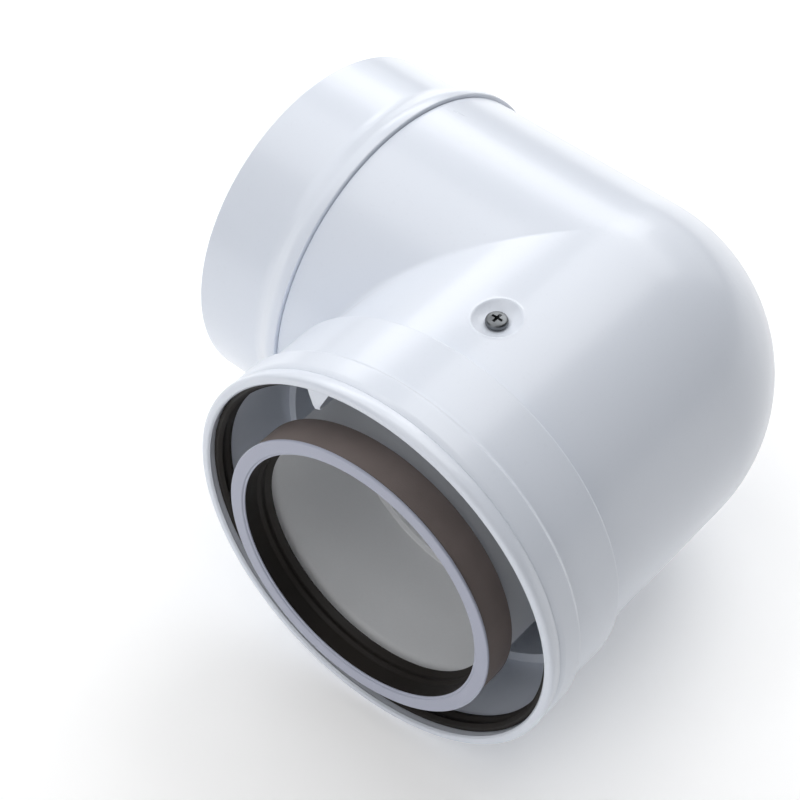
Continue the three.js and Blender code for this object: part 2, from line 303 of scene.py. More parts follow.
class FlueFinishSettings(bpy.types.PropertyGroup):
    """Colours of the finishes."""

    shell: colour_setting("White Shell", "Colour of the outer pieces", (0.764, 0.808, 0.89))
    pipe: colour_setting("Grey Pipe", "Colour of the flue pipe", (0.75, 0.76, 0.775))
    collar: colour_setting(
        "Inner Ring", "Colour of the ring on the inner socket", (0.42, 0.44, 0.54)
    )
    rubber: colour_setting("Seal Rubber", "Colour of the lip seals", (0.007, 0.0045, 0.003))
    # Painted light: this paler colour stands in for the light falling on the inner seal's sleeve.
    faded_rubber: colour_setting(
        "Lit Sleeve Rubber", "Colour of the inner seal's sleeve", (0.20, 0.165, 0.155)
    )
    zinc: colour_setting("Screw Zinc", "Colour of the screws", (0.18, 0.19, 0.20))


class FlueStudioSettings(bpy.types.PropertyGroup):
    """Camera and floor."""

    azimuth: FloatProperty(
        name="Azimuth",
        description="Where the camera stands, turned from the front towards +X",
        default=math.radians(39.5),
        subtype="ANGLE",
    )
    elevation: FloatProperty(
        name="Elevation",
        description="How far the camera looks down",
        default=math.radians(46.24),
        subtype="ANGLE",
    )
    lens: FloatProperty(
        name="Lens",
        description="Focal length in millimetres on a 36 mm sensor",
        default=111.24,
    )
    camera_place: FloatVectorProperty(
        name="Camera",
        description="Place of the camera in the frame",
        default=(0.30835, -0.40835, 0.58559),
        subtype="TRANSLATION",
    )
    floor_size: length_setting("Floor", "Side of the square floor", 12000)


# ---- mesh helpers ----

SHARP_DEGREES = 40  # an edge with a greater bend than this is shaded sharp


def corner_arc(radius):
    """Outline points of a ball's lower quarter, from the equator to the pole below."""
    steps = 32
    angles = [math.pi / 2 * i / steps for i in range(steps + 1)]
    return [(radius * math.cos(angle), -radius * math.sin(angle), 0) for angle in angles]


def draw_outline(bm, outline, closed):
    """Draws an outline in the XZ plane with rounded corners. An open one keeps its ends apart."""
    verts = [bm.verts.new((radius * MM, 0, out * MM)) for radius, out, _ in outline]
    bm.faces.new(verts)
    corners = {}
    for vert, (_, _, rounding) in zip(verts, outline):
        if rounding:
            corners.setdefault(rounding, []).append(vert)
    for rounding, group in corners.items():
        bmesh.ops.bevel(
            bm,
            geom=group,
            offset=rounding * MM,
            offset_type="OFFSET",
            affect="VERTICES",
            segments=3,
            profile=0.5,
            material=-1,
        )
    edges = bm.edges[:]
    bmesh.ops.delete(bm, geom=bm.faces[:], context="FACES_ONLY")
    if not closed:
        seam = bm.edges.get((verts[0], verts[-1]))
        edges.remove(seam)
        bm.edges.remove(seam)
    return edges


def spin_round(bm, edges, segments):
    """Turns edges once round the Z axis."""
    verts = list({vert for edge in edges for vert in edge.verts})
    bmesh.ops.spin(
        bm,
        geom=verts + edges,
        cent=(0, 0, 0),
        axis=(0, 0, 1),
        dvec=(0, 0, 0),
        angle=2 * math.pi,
        steps=segments,
        use_merge=True,
        use_duplicate=False,
    )


def turned(outline, segments, axes, closed=True):
    """A new bmesh turned from an outline, placed by a matrix."""
    bm = bmesh.new()
    spin_round(bm, draw_outline(bm, outline, closed), segments)
    bmesh.ops.remove_doubles(bm, verts=bm.verts, dist=1e-6)
    bmesh.ops.transform(bm, matrix=axes, verts=bm.verts)
    return bm


def join(bm, *others):
    """Adds other bmeshes to the first one and frees them."""
    for other in others:
        mesh = bpy.data.meshes.new("joined")
        other.to_mesh(mesh)
        other.free()
        bm.from_mesh(mesh)
        bpy.data.meshes.remove(mesh)
    return bm


def block(low, high, rounding, axes):
    """A box with rounded edges between two corners, given in millimetres in the matrix's axes."""
    bm = bmesh.new()
    low, high = Vector(low) * MM, Vector(high) * MM
    place = Matrix.Translation((low + high) / 2) @ Matrix.Diagonal(high - low).to_4x4()
    bmesh.ops.create_cube(bm, size=1, matrix=place)
    round_edges(bm, rounding)
    bmesh.ops.transform(bm, matrix=axes, verts=bm.verts)
    return bm


def round_edges(bm, rounding):
    """Rounds every edge by a distance in millimetres."""
    bmesh.ops.bevel(
        bm,
        geom=bm.edges[:],
        offset=rounding * MM,
        offset_type="OFFSET",
        affect="EDGES",
        segments=2,
        profile=0.5,
        material=-1,
    )


def finished(context, name, bm, node, slot):
    """Makes a mesh a finished piece that replaces its CAD node."""
    bmesh.ops.remove_doubles(bm, verts=bm.verts, dist=3e-6)
    bmesh.ops.recalc_face_normals(bm, faces=bm.faces)
    for face in bm.faces:
        face.smooth = True
    limit = math.radians(SHARP_DEGREES)
    for edge in bm.edges:
        edge.smooth = edge.calc_face_angle(math.pi) < limit
    mesh = bpy.data.meshes.new(name)
    bm.to_mesh(mesh)
    bm.free()
    mesh.materials.append(material(context, FINISHES[slot]))
    piece = bpy.data.objects.new(name, mesh)
    context.scene.collection.objects.link(piece)
    normals = piece.modifiers.new("even_shading", "WEIGHTED_NORMAL")
    normals.keep_sharp = True
    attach(piece, "root")
    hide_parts(node)
    return piece


# ---- material helpers ----


class Value:
    """A number socket that takes part in Python arithmetic."""

    def __init__(self, surface, socket):
        self.surface = surface
        self.socket = socket

    def math(self, operation, *others):
        return self.surface.add("ShaderNodeMath", {"operation": operation}, dict(enumerate(others)))

    def __add__(self, other):
        return self.math("ADD", self, other)

    def __mul__(self, other):
        return self.math("MULTIPLY", self, other)

    __radd__ = __add__
    __rmul__ = __mul__


class Surface:
    """Builds the nodes of one material round a Principled shader."""

    def __init__(self, name, **fixed):
        self.material = bpy.data.materials.new(name)
        self.material.use_nodes = True
        self.tree = self.material.node_tree
        self.tree.nodes.clear()
        output = self.tree.nodes.new("ShaderNodeOutputMaterial")
        self.shader = self.tree.nodes.new("ShaderNodeBsdfPrincipled")
        self.tree.links.new(self.shader.outputs[0], output.inputs["Surface"])
        for socket, value in fixed.items():
            self.shader.inputs[socket.replace("_", " ")].default_value = value
        self.place = self.add("ShaderNodeTexCoord", output="Object")

    def add(self, kind, settings=None, inputs=None, output=0):
        """Adds a node with its settings and inputs, and returns one of its outputs."""
        node = self.tree.nodes.new(kind)
        for key, setting in (settings or {}).items():
            if key == "stops":
                self.set_stops(node.color_ramp, setting)
            else:
                setattr(node, key, setting)
        sockets = {socket.identifier: socket for socket in node.inputs}
        for key, given in (inputs or {}).items():
            socket = node.inputs[key] if isinstance(key, int) else sockets[key]
            if isinstance(given, Value):
                self.tree.links.new(given.socket, socket)
            else:
                socket.default_value = given
        return Value(self, node.outputs[output])

    @staticmethod
    def set_stops(ramp, stops):
        """Sets a ramp's (position, grey) stops."""
        while len(ramp.elements) < len(stops):
            ramp.elements.new(1)
        for element, (position, grey) in zip(ramp.elements, stops):
            element.position = position
            element.color = (grey, grey, grey, 1)

    def feed(self, socket, value):
        """Links a value to one of the shader's sockets."""
        self.tree.links.new(value.socket, self.shader.inputs[socket])

    def radius_from(self, axes):
        """How far a point is from the Z axis of a matrix, in metres."""
        inverse = axes.inverted()
        local = self.add(
            "ShaderNodeMapping",
            inputs={
                "Vector": self.place,
                "Location": inverse.translation,
                "Rotation": inverse.to_euler(),
            },
        )
        flat = self.add(
            "ShaderNodeVectorMath", {"operation": "MULTIPLY"}, {0: local, 1: (1, 1, 0)}
        )
        return self.add("ShaderNodeVectorMath", {"operation": "LENGTH"}, {0: flat}, output=1)

    def stretched(self, scale):
        """Object coordinates scaled along each axis."""
        return self.add("ShaderNodeMapping", inputs={"Vector": self.place, "Scale": scale})

    def noise(self, scale, detail, vector=None):
        """Soft noise from 0 to 1. The scale is about how many bumps there are in a metre."""
        return self.add(
            "ShaderNodeTexNoise",
            inputs={"Vector": vector or self.place, "Scale": scale, "Detail": detail},
        )

    def ramp(self, value, *stops):
        """Passes a value through a grey ramp."""
        return self.add("ShaderNodeValToRGB", {"stops": stops}, {"Fac": value})

    def mix(self, factor, first, second):
        """Mixes two colours."""
        return self.add(
            "ShaderNodeMix",
            {"data_type": "RGBA"},
            {"Factor_Float": factor, "A_Color": first, "B_Color": second},
            output=2,
        )

    def bump(self, height, strength, distance):
        """Turns a height into a normal."""
        inputs = {"Strength": strength, "Distance": distance, "Height": height}
        return self.add("ShaderNodeBump", inputs=inputs)


def tone(colour, gain):
    """A colour made lighter or darker, with its alpha."""
    return (*(min(1.0, channel * gain) for channel in colour), 1.0)


def glossy_white_plastic(finish):
    """Glossy moulded white plastic with a faint orange peel and fine handling marks."""
    surface = Surface(
        "glossy_white_plastic", IOR=1.5, Coat_Roughness=0.12, Coat_IOR=1.45, Coat_Weight=0.25
    )
    clouds = surface.noise(14, 3)
    specks = surface.ramp(surface.noise(900, 1), (0.28, 1.0), (0.34, 0.0))
    colour = surface.mix(clouds, tone(finish.shell, 0.985), tone(finish.shell, 1.015))
    surface.feed("Base Color", surface.mix(specks * 0.05, colour, tone(finish.shell, 0.7)))
    smears = surface.noise(9, 4, surface.stretched((1, 5, 2)))
    surface.feed("Roughness", 0.24 + smears * 0.10 + specks * 0.05)
    peel = surface.bump(surface.noise(420, 1), 0.06, 0.0002)
    surface.feed("Normal", peel)
    return surface.material


def satin_pipe_plastic(finish):
    """Satin pale grey pipe plastic with a fine grain."""
    surface = Surface("satin_pipe_plastic", IOR=1.49)
    clouds = surface.noise(22, 3)
    fine = surface.noise(1400, 2)
    colour = surface.mix(clouds, tone(finish.pipe, 0.95), tone(finish.pipe, 1.05))
    surface.feed("Base Color", surface.mix(fine * 0.2, colour, tone(finish.pipe, 0.8)))
    surface.feed("Roughness", 0.42 + clouds * 0.08 + fine * 0.05)
    surface.feed("Normal", surface.bump(fine, 0.12, 0.0001))
    return surface.material


def satin_ring_plastic(finish):
    """Satin pale lilac ring plastic with a fine grain."""
    surface = Surface("satin_ring_plastic", IOR=1.49)
    clouds = surface.noise(30, 2)
    fine = surface.noise(1600, 2)
    colour = surface.mix(clouds, tone(finish.collar, 0.96), tone(finish.collar, 1.04))
    surface.feed("Base Color", colour)
    surface.feed("Roughness", 0.34 + clouds * 0.08 + fine * 0.05)
    surface.feed("Normal", surface.bump(fine, 0.08, 0.0001))
    return surface.material


def soft_black_rubber(finish):
    """Black seal rubber with a faint brown bloom; the sleeve of the inner seal is painted paler, as
    painted light where light falls on it.
    """
    surface = Surface("soft_black_rubber", IOR=1.42)
    bloom = surface.ramp(surface.noise(70, 4), (0.4, 0.0), (0.75, 1.0))
    grain = surface.noise(2600, 2)
    rubber = surface.mix(bloom, tone(finish.rubber, 0.9), tone(finish.rubber, 1.6))
    decimetres = surface.radius_from(SOCKET) * 10
    # Painted light: the mask picks out the outside of the inner seal's sleeve, and the paler colour
    # stands in for the light falling on it there.
    sleeve = surface.ramp(decimetres, (0.443, 0), (0.448, 1), (0.5, 1), (0.51, 0))
    lit_rubber = surface.mix(bloom, tone(finish.faded_rubber, 0.92), tone(finish.faded_rubber, 1.1))
    surface.feed("Base Color", surface.mix(sleeve, rubber, lit_rubber))
    surface.feed("Roughness", 0.52 + bloom * 0.14 + grain * 0.1)
    surface.feed("Normal", surface.bump(grain, 0.25, 0.0001))
    return surface.material


def dull_zinc_plate(finish):
    """Dull zinc plate with fine mottling."""
    surface = Surface("dull_zinc_plate", Metallic=1.0)
    mottle = surface.noise(900, 3)
    fine = surface.noise(6000, 2)
    surface.feed(
        "Base Color",
        surface.mix(mottle, tone(finish.zinc, 0.82), tone(finish.zinc, 1.1)),
    )
    surface.feed("Roughness", 0.32 + mottle * 0.18)
    surface.feed("Normal", surface.bump(fine, 0.15, 0.00005))
    return surface.material


def floor_paper(finish):
    """Pale paper that is bright by itself, so that the ground stays clean under the elbow."""
    surface = Surface("floor_paper", Roughness=0.9, Emission_Strength=0.2)
    fibres = surface.noise(60, 4)
    surface.feed("Base Color", surface.mix(fibres, (0.93, 0.93, 0.93, 1), (0.95, 0.95, 0.95, 1)))
    surface.feed("Emission Color", surface.mix(fibres, (0.99, 0.99, 0.99, 1), (1, 1, 1, 1)))
    return surface.material


FINISHES = {
    "white_shell": glossy_white_plastic,
    "grey_pipe": satin_pipe_plastic,
    "collar_plastic": satin_ring_plastic,
    "seal_rubber": soft_black_rubber,
    "screw_zinc": dull_zinc_plate,
}


def material(context, maker):
    """The named finish, made once."""
    found = bpy.data.materials.get(maker.__name__)
    return found or maker(context.scene.flue_finish)


# ---- the outer elbow ----


def mitre_direction():
    """From the bend centre towards the crease on the inside of the bend."""
    return (SOCKET_OUT + SPIGOT_OUT).normalized()


def half_elbow(outline, axes, segments):
    """One leg of the outer elbow with its half of the heel, cut off at the mitre."""
    bm = turned(outline, segments, axes, closed=False)
    away = UP.cross(mitre_direction())
    own = axes.to_3x3() @ Vector((0, 0, 1))
    if away.dot(own) > 0:
        away.negate()
    for offset in MITRE_CUTS:
        bmesh.ops.bisect_plane(
            bm,
            geom=bm.verts[:] + bm.edges[:] + bm.faces[:],
            dist=1e-6,
            plane_co=BEND_CENTRE - away * offset * MM,
            plane_no=away,
            clear_outer=offset == 0,
        )
    return bm


def leg_distance(point, out):
    """The vector from a leg's axis to a point."""
    offset = point - BEND_CENTRE
    return offset - out * offset.dot(out)


def soften_crease(bm, radius, width):
    """Moves the points near the crease onto a smooth blend of the two legs."""
    inwards = mitre_direction()
    across = UP.cross(inwards)
    wall_reach = 0.9 * MM
    for vert in bm.verts:
        offset = vert.co - BEND_CENTRE
        if offset.dot(inwards) <= 0 or abs(offset.dot(across)) > 4 * width:
            continue
        nearest = min(leg_distance(vert.co, out).length for out in (SOCKET_OUT, SPIGOT_OUT))
        if abs(nearest - radius) > wall_reach:
            continue
        for _ in range(6):
            ways = [leg_distance(vert.co, out) for out in (SOCKET_OUT, SPIGOT_OUT)]
            gaps = [way.length - radius for way in ways]
            normals = [way.normalized() for way in ways]
            reach = max(width * (1 - normals[0].dot(normals[1])), 1e-7)
            share = min(max(0.5 + 0.5 * (gaps[1] - gaps[0]) / reach, 0), 1)
            gap = gaps[0] * share + gaps[1] * (1 - share) - reach * share * (1 - share)
            slope = normals[0] * share + normals[1] * (1 - share)
            vert.co -= slope * gap / slope.length_squared


def open_patch(bm, axes, radius, half):
    """Takes out a square patch of a leg's wall at a screw and returns the edges round it."""
    spot = axes.inverted()
    wall_reach = 0.2 * MM

    def on_wall(vert):
        local = spot @ vert.co
        depth = abs(math.hypot(local.x, local.z) - radius)
        return local.z > 0 and abs(local.x) < half and depth < wall_reach

    def spans(face):
        along = [(spot @ vert.co).y for vert in face.verts]
        return min(along) < -half and max(along) > half

    strip = [face for face in bm.faces if all(map(on_wall, face.verts)) and spans(face)]
    along = axes.to_3x3() @ Vector((0, 1, 0))
    centre = axes @ Vector((0, 0, 0))
    for side in (-1, 1):
        geometry = {item for face in strip for item in (face, *face.edges, *face.verts)}
        cut = bmesh.ops.bisect_plane(
            bm,
            geom=list(geometry),
            dist=1e-7,
            plane_co=centre + along * side * half,
            plane_no=along,
        )
        strip = [item for item in cut["geom"] if isinstance(item, bmesh.types.BMFace)]
    middle = [
        face
        for face in strip
        if abs((spot @ face.calc_center_median()).y) < half
        and all(abs((spot @ vert.co).y) < half + 1e-6 for vert in face.verts)
    ]
    rim = [
        edge
        for edge in {edge for face in middle for edge in face.edges}
        if sum(face in middle for face in edge.link_faces) == 1
    ]
    bmesh.ops.delete(bm, geom=middle, context="FACES")
    rim = [edge for edge in rim if edge.is_valid]
    longest = max(edge.calc_length() for edge in rim)
    sides = [edge for edge in rim if edge.calc_length() > 0.9 * longest]
    split = bmesh.ops.bisect_edges(bm, edges=sides, cuts=PATCH_STEPS - 1)
    ends = [item for item in split["geom_split"] if isinstance(item, bmesh.types.BMEdge)]
    return list({edge for edge in rim + ends if edge.is_valid and len(edge.link_faces) == 1})


def stack_rings(bm, loop, rings, axes):
    """Bridges a loop of edges through rings of (radius at an angle, height at a place)."""
    spots = [axes.inverted() @ vert.co for vert in {v for edge in loop for v in edge.verts}]
    angles = sorted(math.atan2(spot.y, spot.x) for spot in spots)
    for radius, height in rings:
        made = bmesh.ops.create_circle(bm, cap_ends=False, radius=1, segments=len(angles))
        edges = list({edge for vert in made["verts"] for edge in vert.link_edges})
        round_order = sorted(made["verts"], key=lambda vert: math.atan2(vert.co.y, vert.co.x))
        for vert, angle in zip(round_order, angles):
            x, y = math.cos(angle) * radius(angle), math.sin(angle) * radius(angle)
            vert.co = axes @ Vector((x, y, height(x, y)))
        bmesh.ops.bridge_loops(bm, edges=loop + edges)
        loop = edges
    return loop


class FLUE_OT_outer_shell(bpy.types.Operator):
    """Builds the white outer elbow with its stepped socket, heel, crease and dishes"""

    bl_idname = "flue.outer_shell"
    bl_label = "Outer Shell"

    def execute(self, context):
        shell = context.scene.flue_shell
        bore = corner_arc(shell.bore_radius / MM)
        skin = corner_arc(shell.outer_radius / MM)
        legs = (
            (SOCKET, SHELL_SOCKET_BORE, SHELL_SOCKET_OUTSIDE),
            (SPIGOT, SHELL_SPIGOT_BORE, SHELL_SPIGOT_OUTSIDE),
        )
        halves = [
            half_elbow(bore[::-1] + inside + outside + skin, axes, shell.segments)
            for axes, inside, outside in legs
        ]
        bm = join(*halves)
        bmesh.ops.remove_doubles(bm, verts=bm.verts, dist=1e-5)
        for radius in (shell.outer_radius, shell.bore_radius):
            soften_crease(bm, radius, shell.crease_rounding)
        for side in SCREW_SIDES.values():
            self.make_dish(bm, shell, screw_axes(side))
        finished(context, "outer_shell", bm, "outer_elbow_body", "white_shell")
        return {"FINISHED"}

    def make_dish(self, bm, shell, axes):
        """Sinks a dish into the outside, a pad into the bore, and a screw hole through both."""
        outside, bore, depth = shell.outer_radius, shell.bore_radius, shell.dish_depth
        ball = (shell.dish_radius**2 + depth**2) / (2 * depth)
        pad = PAD_FACE * MM

        def on_wall(radius):
            return lambda x, y: math.sqrt(radius**2 - x**2)

        def in_dish(x, y):
            return outside - depth + ball - math.sqrt(ball**2 - x**2 - y**2)

        def edge(angle, grow):
            """Where the dish meets the wall in this direction, with some millimetres added."""
            bend = 1 / (2 * ball) + math.cos(angle) ** 2 / (2 * outside)
            return math.sqrt(depth / bend) + grow * MM

        def softened(x, y):
            return (in_dish(x, y) + on_wall(outside)(x, y)) / 2 - 0.05 * MM

        def plain(radius):
            return lambda angle: radius * MM

        def level(height):
            return lambda x, y: height

        dish = [
            (lambda a: edge(a, 0.7), on_wall(outside)),
            (lambda a: edge(a, 0.3), on_wall(outside)),
            (lambda a: edge(a, 0.0), softened),
            (lambda a: edge(a, -0.3), in_dish),
            (lambda a: edge(a, -0.7), in_dish),
            *((plain(radius), in_dish) for radius in (5.8, 4.6, 3.4, 2.2)),
            (plain(SCREW_HOLE_R), level(outside - depth - 0.1 * MM)),
            (plain(SCREW_HOLE_R), level(outside - depth - 0.6 * MM)),
        ]
        inside = [
            (plain(PAD_R + 0.3), on_wall(bore)),
            (plain(PAD_R), level(bore - 1.0 * MM)),
            (plain(PAD_R), level(pad + 0.25 * MM)),
            (plain(PAD_R - 0.25), level(pad)),
            (plain(SCREW_HOLE_R + 0.3), level(pad)),
            (plain(SCREW_HOLE_R), level(pad + 0.2 * MM)),
        ]
        ends = []
        for radius, half, rings in ((outside, OUTER_PATCH, dish), (bore, INNER_PATCH, inside)):
            loop = open_patch(bm, axes, radius, half * MM)
            ends.append(stack_rings(bm, loop, rings, axes))
        bmesh.ops.bridge_loops(bm, edges=ends[0] + ends[1])


class FLUE_OT_spigot_sleeve(bpy.types.Operator):
    """Builds the white spigot sleeve with its collar"""

    bl_idname = "flue.spigot_sleeve"
    bl_label = "Spigot Sleeve"

    def execute(self, context):
        bm = turned(SLEEVE, context.scene.flue_shell.segments, SPIGOT)
        finished(context, "spigot_sleeve", bm, "outer_spigot_sleeve", "white_shell")
        return {"FINISHED"}


class FLUE_OT_socket_ring(bpy.types.Operator):
    """Builds the white rim ring of the socket with its locating tab"""

    bl_idname = "flue.socket_ring"
    bl_label = "Socket Ring"

    def execute(self, context):
        bm = join(turned(SOCKET_RING, context.scene.flue_shell.segments, SOCKET), self.tab())
        finished(context, "socket_ring", bm, "outer_socket_ring", "white_shell")
        return {"FINISHED"}

    def tab(self):
        """The small hook and the web across its front, which widens towards the rim."""
        turn = SOCKET @ Matrix.Rotation(math.radians(90 + TAB_TURN), 4, "Z")
        bm = bmesh.new()
        corners = [Vector((radius, side, TAB_WEB_BACK)) * MM for radius, side in TAB_WEB]
        face = bm.faces.new([bm.verts.new(corner) for corner in corners])
        grown = bmesh.ops.extrude_face_region(bm, geom=[face])
        moved = [item for item in grown["geom"] if isinstance(item, bmesh.types.BMVert)]
        bmesh.ops.translate(bm, verts=moved, vec=(0, 0, TAB_WEB_THICK * MM))
        bmesh.ops.recalc_face_normals(bm, faces=bm.faces)
        round_edges(bm, TAB_ROUNDING)
        bmesh.ops.transform(bm, matrix=turn, verts=bm.verts)
        return join(bm, block(*TAB_HOOK, TAB_ROUNDING, turn))


class FLUE_OT_seals(bpy.types.Operator):
    """Builds the two black lip seals"""

    bl_idname = "flue.seals"
    bl_label = "Lip Seals"

    def execute(self, context):
        for name, outline in (("outer", OUTER_SEAL), ("inner", INNER_SEAL)):
            bm = turned(outline, context.scene.flue_shell.segments, SOCKET)
            finished(context, f"{name}_lip_seal", bm, f"{name}_socket_seal", "seal_rubber")
        return {"FINISHED"}


class FLUE_OT_inner_elbow(bpy.types.Operator):
    """Builds the grey inner elbow with its socket, bend, cup and screw posts"""

    bl_idname = "flue.inner_elbow"
    bl_label = "Inner Elbow"

    def execute(self, context):
        pipe = context.scene.flue_pipe
        start, end = (FLUE_BORE_R, BEND_START, 0), (FLUE_PIPE_R, BEND_START, 0)
        bm = turned([start, *FLUE_SOCKET, end], pipe.segments, SOCKET, closed=False)
        ends = [edge for edge in bm.edges if edge.is_boundary]
        verts = list({vert for edge in ends for vert in edge.verts})
        bmesh.ops.spin(
            bm,
            geom=verts + ends,
            cent=BEND_CENTRE + Vector((-BEND_RADIUS, -BEND_START, 0)) * MM,
            axis=UP,
            dvec=(0, 0, 0),
            angle=TURN,
            steps=pipe.bend_steps,
            use_duplicate=False,
        )
        cup = turned([start, *FLUE_CUP, end], pipe.segments, SPIGOT, closed=False)
        join(bm, cup)
        bmesh.ops.remove_doubles(bm, verts=bm.verts, dist=2e-5)
        join(bm, *[self.post(screw_axes(side)) for side in SCREW_SIDES.values()])
        finished(context, "flue_inner_elbow", bm, "inner_elbow", "grey_pipe")
        return {"FINISHED"}

    def post(self, axes):
        """A post that takes a fixing screw."""
        top = PAD_FACE - POST_GAP
        outline = [
            (0, 39, 0),
            (4.5, 39, 0),
            (4.5, top, 0.4),
            (SCREW_HOLE_R, top, 0.3),
            (SCREW_HOLE_R, 41, 0),
            (0, 41, 0),
        ]
        return turned(outline, 48, axes, closed=False)


class FLUE_OT_inner_spigot(bpy.types.Operator):
    """Builds the grey inner spigot tube and the star that centres it"""

    bl_idname = "flue.inner_spigot"
    bl_label = "Inner Spigot"

    def execute(self, context):
        pipe = context.scene.flue_pipe
        tube = turned(FLUE_SPIGOT, pipe.segments, SPIGOT)
        finished(context, "flue_spigot_tube", tube, "inner_spigot_tube", "grey_pipe")
        half = pipe.fin_thickness / MM / 2
        low, high = (FIN_RADII[0], -half, SPACER_BACK), (FIN_RADII[1], half, SPACER_FRONT)
        turns = [Matrix.Rotation(math.radians(turn), 4, "Z") for turn in FIN_TURNS]
        fins = [block(low, high, 0.3, SPIGOT @ turn) for turn in turns]
        star = join(turned(SPACER_HUB, pipe.segments, SPIGOT), *fins)
        finished(context, "spigot_star", star, "spigot_spacer", "grey_pipe")
        return {"FINISHED"}


class FLUE_OT_inner_ring(bpy.types.Operator):
    """Builds the pale ring that holds the inner seal"""

    bl_idname = "flue.inner_ring"
    bl_label = "Inner Ring"

    def execute(self, context):
        bm = turned(INNER_RING, context.scene.flue_shell.segments, SOCKET)
        finished(context, "flue_ring", bm, "inner_socket_ring", "collar_plastic")
        return {"FINISHED"}


class FLUE_OT_screws(bpy.types.Operator):
    """Builds the two pan-head fixing screws with cross recesses and threads"""

    bl_idname = "flue.screws"
    bl_label = "Fixing Screws"

    def execute(self, context):
        screw = context.scene.flue_screw
        for name, side in SCREW_SIDES.items():
            axes = screw_axes(side) @ Matrix.Translation((0, 0, screw.seat_radius))
            bm = join(self.body(screw), self.thread(screw))
            bmesh.ops.transform(bm, matrix=axes, verts=bm.verts)
            finished(context, f"pan_screw_{name}", bm, f"fixing_screw_{name}", "screw_zinc")
        return {"FINISHED"}

    @staticmethod
    def cross_angles():
        """Angles round a cross, four to each quarter-arm, with its corners among them."""
        corner = math.atan2(0.42, 1.75)
        arm = [-math.pi / 4, -0.5 * (math.pi / 4 + corner), -corner, -corner / 2]
        arm += [0, corner / 2, corner, 0.5 * (math.pi / 4 + corner)]
        return [quarter * math.pi / 2 + angle for quarter in range(4) for angle in arm]

    def cross(self, bm, length, width, height):
        """A closed cross-shaped loop of edges."""
        verts = []
        for angle in self.cross_angles():
            off = abs((angle + math.pi / 4) % (math.pi / 2) - math.pi / 4)
            reach = min(length / math.cos(off), width / max(math.sin(off), 1e-6))
            x, y = reach * math.cos(angle), reach * math.sin(angle)
            verts.append(bm.verts.new((x * MM, y * MM, height(math.hypot(x, y)) * MM)))
        return [bm.edges.new(pair) for pair in zip(verts, verts[1:] + verts[:1])]

    def ring(self, bm, radius, height):
        """A round loop of edges on the same angles as the cross."""
        verts = [
            bm.verts.new((radius * math.cos(a) * MM, radius * math.sin(a) * MM, height * MM))
            for a in self.cross_angles()
        ]
        return [bm.edges.new(pair) for pair in zip(verts, verts[1:] + verts[:1])]

    def body(self, screw):
        """The head with its cross recess, and the plain core with its point."""
        bm = bmesh.new()
        top, rim = screw.head_height / MM, screw.head_radius / MM

        def dome(radius):
            return top - 0.62 * (radius / rim) ** 2.6

        length = screw.length / MM
        loops = [
            self.cross(bm, 0.9, 0.24, lambda r: top - 1.7),
            self.cross(bm, 1.62, 0.36, lambda r: top - 0.35),
            self.cross(bm, 1.75, 0.42, dome),
        ]
        loops += [self.ring(bm, rim * part, dome(rim * part)) for part in (0.66, 0.78, 0.88)]
        loops += [
            self.ring(bm, rim * 0.96, top - 0.75),
            self.ring(bm, rim, 0.85),
            self.ring(bm, rim, 0.25),
            self.ring(bm, rim * 0.97, 0.0),
            self.ring(bm, 1.7, 0.0),
            self.ring(bm, 1.3, -0.3),
            self.ring(bm, 1.3, 2.6 - length),
            self.ring(bm, 0.12, -length),
        ]
        for first, second in zip(loops, loops[1:]):
            bmesh.ops.bridge_loops(bm, edges=first + second)
        for loop in (loops[0], loops[-1]):
            bmesh.ops.contextual_create(bm, geom=loop)
        return bm

    def thread(self, screw):
        """A thread ridge wound round the core."""
        bm = bmesh.new()
        pitch, length = screw.pitch / MM, screw.length / MM
        turns = int((length - 3.6) / pitch)
        points = ((1.15, -0.9), (1.75, -0.75), (1.15, -0.6))
        verts = [bm.verts.new((r * MM, 0, z * MM)) for r, z in points]
        edges = [bm.edges.new(pair) for pair in zip(verts, verts[1:])]
        bmesh.ops.spin(
            bm,
            geom=verts + edges,
            cent=(0, 0, 0),
            axis=(0, 0, 1),
            dvec=(0, 0, -pitch * MM / 24),
            angle=2 * math.pi * turns,
            steps=24 * turns,
            use_duplicate=False,
        )
        ends = [vert for vert in bm.verts if len(vert.link_edges) == 2]
        for height in (max, min):
            level = height(vert.co.z for vert in ends)
            tip = [v for v in bm.verts if abs(v.co.z - level) < 0.4 * MM and v.is_boundary]
            tip = sorted(tip, key=lambda v: abs(v.co.z - level))[:3]
            if len(tip) == 3:
                bmesh.ops.contextual_create(bm, geom=tip)
        return bm


# ---- the studio ----


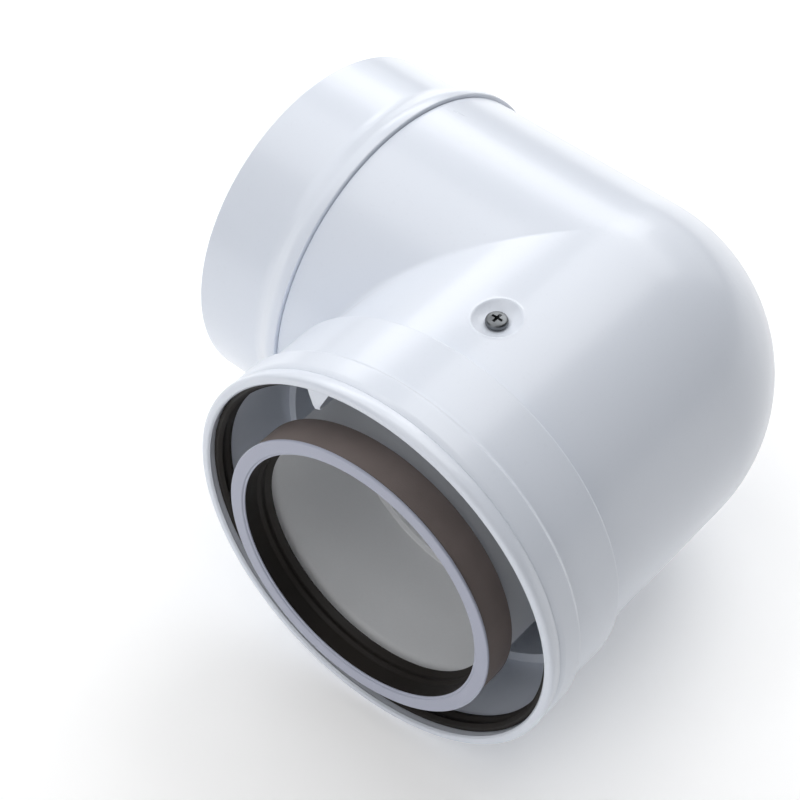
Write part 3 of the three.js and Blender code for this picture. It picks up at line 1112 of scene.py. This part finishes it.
class FLUE_OT_studio(bpy.types.Operator):
    """Builds the pale floor, the soft lights and the camera"""

    bl_idname = "flue.studio"
    bl_label = "Studio"

    def execute(self, context):
        studio = context.scene.flue_studio
        self.floor(context, studio)
        self.world(context)
        self.lights(context)
        self.camera(context, studio)
        context.scene.view_settings.view_transform = "Standard"
        return {"FINISHED"}

    def floor(self, context, studio):
        bm = bmesh.new()
        bmesh.ops.create_grid(bm, x_segments=4, y_segments=4, size=studio.floor_size / 2)
        mesh = bpy.data.meshes.new("floor")
        bm.to_mesh(mesh)
        bm.free()
        mesh.materials.append(material(context, floor_paper))
        floor = bpy.data.objects.new("floor", mesh)
        floor.location.z = -0.2 * MM
        context.scene.collection.objects.link(floor)

    def world(self, context):
        world = bpy.data.worlds.new("studio_air")
        world.use_nodes = True
        world.node_tree.nodes["Background"].inputs["Strength"].default_value = 0
        context.scene.world = world

    def lights(self, context):
        aim = Vector((0, 0, 0.06))
        boxes = (  # name, place and size in metres, power in watts
            ("over", (0, 0, 1.6), (1.6, 1.6), 8),
            ("over_left", (-0.9, 0, 1.3), (1, 1), 5),
            ("over_front", (0, -1, 1.3), (1, 1), 4.6),
            ("over_back", (0, 1, 1.3), (1, 1), 8),
            ("left", (-1.5, 0, 0.6), (1, 0.8), 2),
            ("front", (0, -1.5, 0.6), (1, 0.8), 4.6),
            ("back", (0, 1.5, 0.6), (1, 0.8), 2),
            ("back_left", (-1.1, 1, 0.6), (1, 0.8), 2),
            ("streak", (-0.7, 1.08, 0.83), (1.2, 0.5), 5),
        )
        for name, place, size, power in boxes:
            light = bpy.data.lights.new(name, "AREA")
            light.shape = "RECTANGLE"
            light.size, light.size_y = size
            light.energy = power
            lamp = bpy.data.objects.new(name, light)
            lamp.location = place
            lamp.rotation_euler = (aim - Vector(place)).to_track_quat("-Z", "Y").to_euler()
            context.scene.collection.objects.link(lamp)

    def camera(self, context, studio):
        lens = bpy.data.cameras.new("camera")
        lens.lens = studio.lens
        lens.sensor_width = 36
        lens.clip_start = 0.01
        camera = bpy.data.objects.new("camera", lens)
        level = math.cos(studio.elevation)
        look = -Vector(
            (
                math.sin(studio.azimuth) * level,
                -math.cos(studio.azimuth) * level,
                math.sin(studio.elevation),
            )
        )
        camera.location = studio.camera_place
        camera.rotation_euler = look.to_track_quat("-Z", "Y").to_euler()
        context.scene.collection.objects.link(camera)
        context.scene.camera = camera


class FLUE_PT_panel(bpy.types.Panel):
    """Lists the elbow's operators and settings"""

    bl_idname = "FLUE_PT_panel"
    bl_label = "Flue Elbow"
    bl_space_type = "VIEW_3D"
    bl_region_type = "UI"
    bl_category = "Flue Elbow"

    def draw(self, context):
        for operator in OPERATORS:
            self.layout.operator(operator.bl_idname)
        for name in SETTINGS:
            box = self.layout.box()
            group = getattr(context.scene, name)
            for key in group.__annotations__:
                box.prop(group, key)


OPERATORS = (
    FLUE_OT_outer_shell,
    FLUE_OT_spigot_sleeve,
    FLUE_OT_socket_ring,
    FLUE_OT_seals,
    FLUE_OT_inner_elbow,
    FLUE_OT_inner_spigot,
    FLUE_OT_inner_ring,
    FLUE_OT_screws,
    FLUE_OT_studio,
)
SETTINGS = {
    "flue_shell": FlueShellSettings,
    "flue_pipe": FluePipeSettings,
    "flue_screw": FlueScrewSettings,
    "flue_finish": FlueFinishSettings,
    "flue_studio": FlueStudioSettings,
}
CLASSES = (*SETTINGS.values(), *OPERATORS, FLUE_PT_panel)


def register():
    for cls in CLASSES:
        bpy.utils.register_class(cls)
    for name, group in SETTINGS.items():
        setattr(bpy.types.Scene, name, PointerProperty(type=group))


def unregister():
    for name in SETTINGS:
        delattr(bpy.types.Scene, name)
    for cls in reversed(CLASSES):
        bpy.utils.unregister_class(cls)


def main():
    register()
    for operator in OPERATORS:
        group, name = operator.bl_idname.split(".")
        getattr(getattr(bpy.ops, group), name)()


if __name__ == "__main__":
    main()
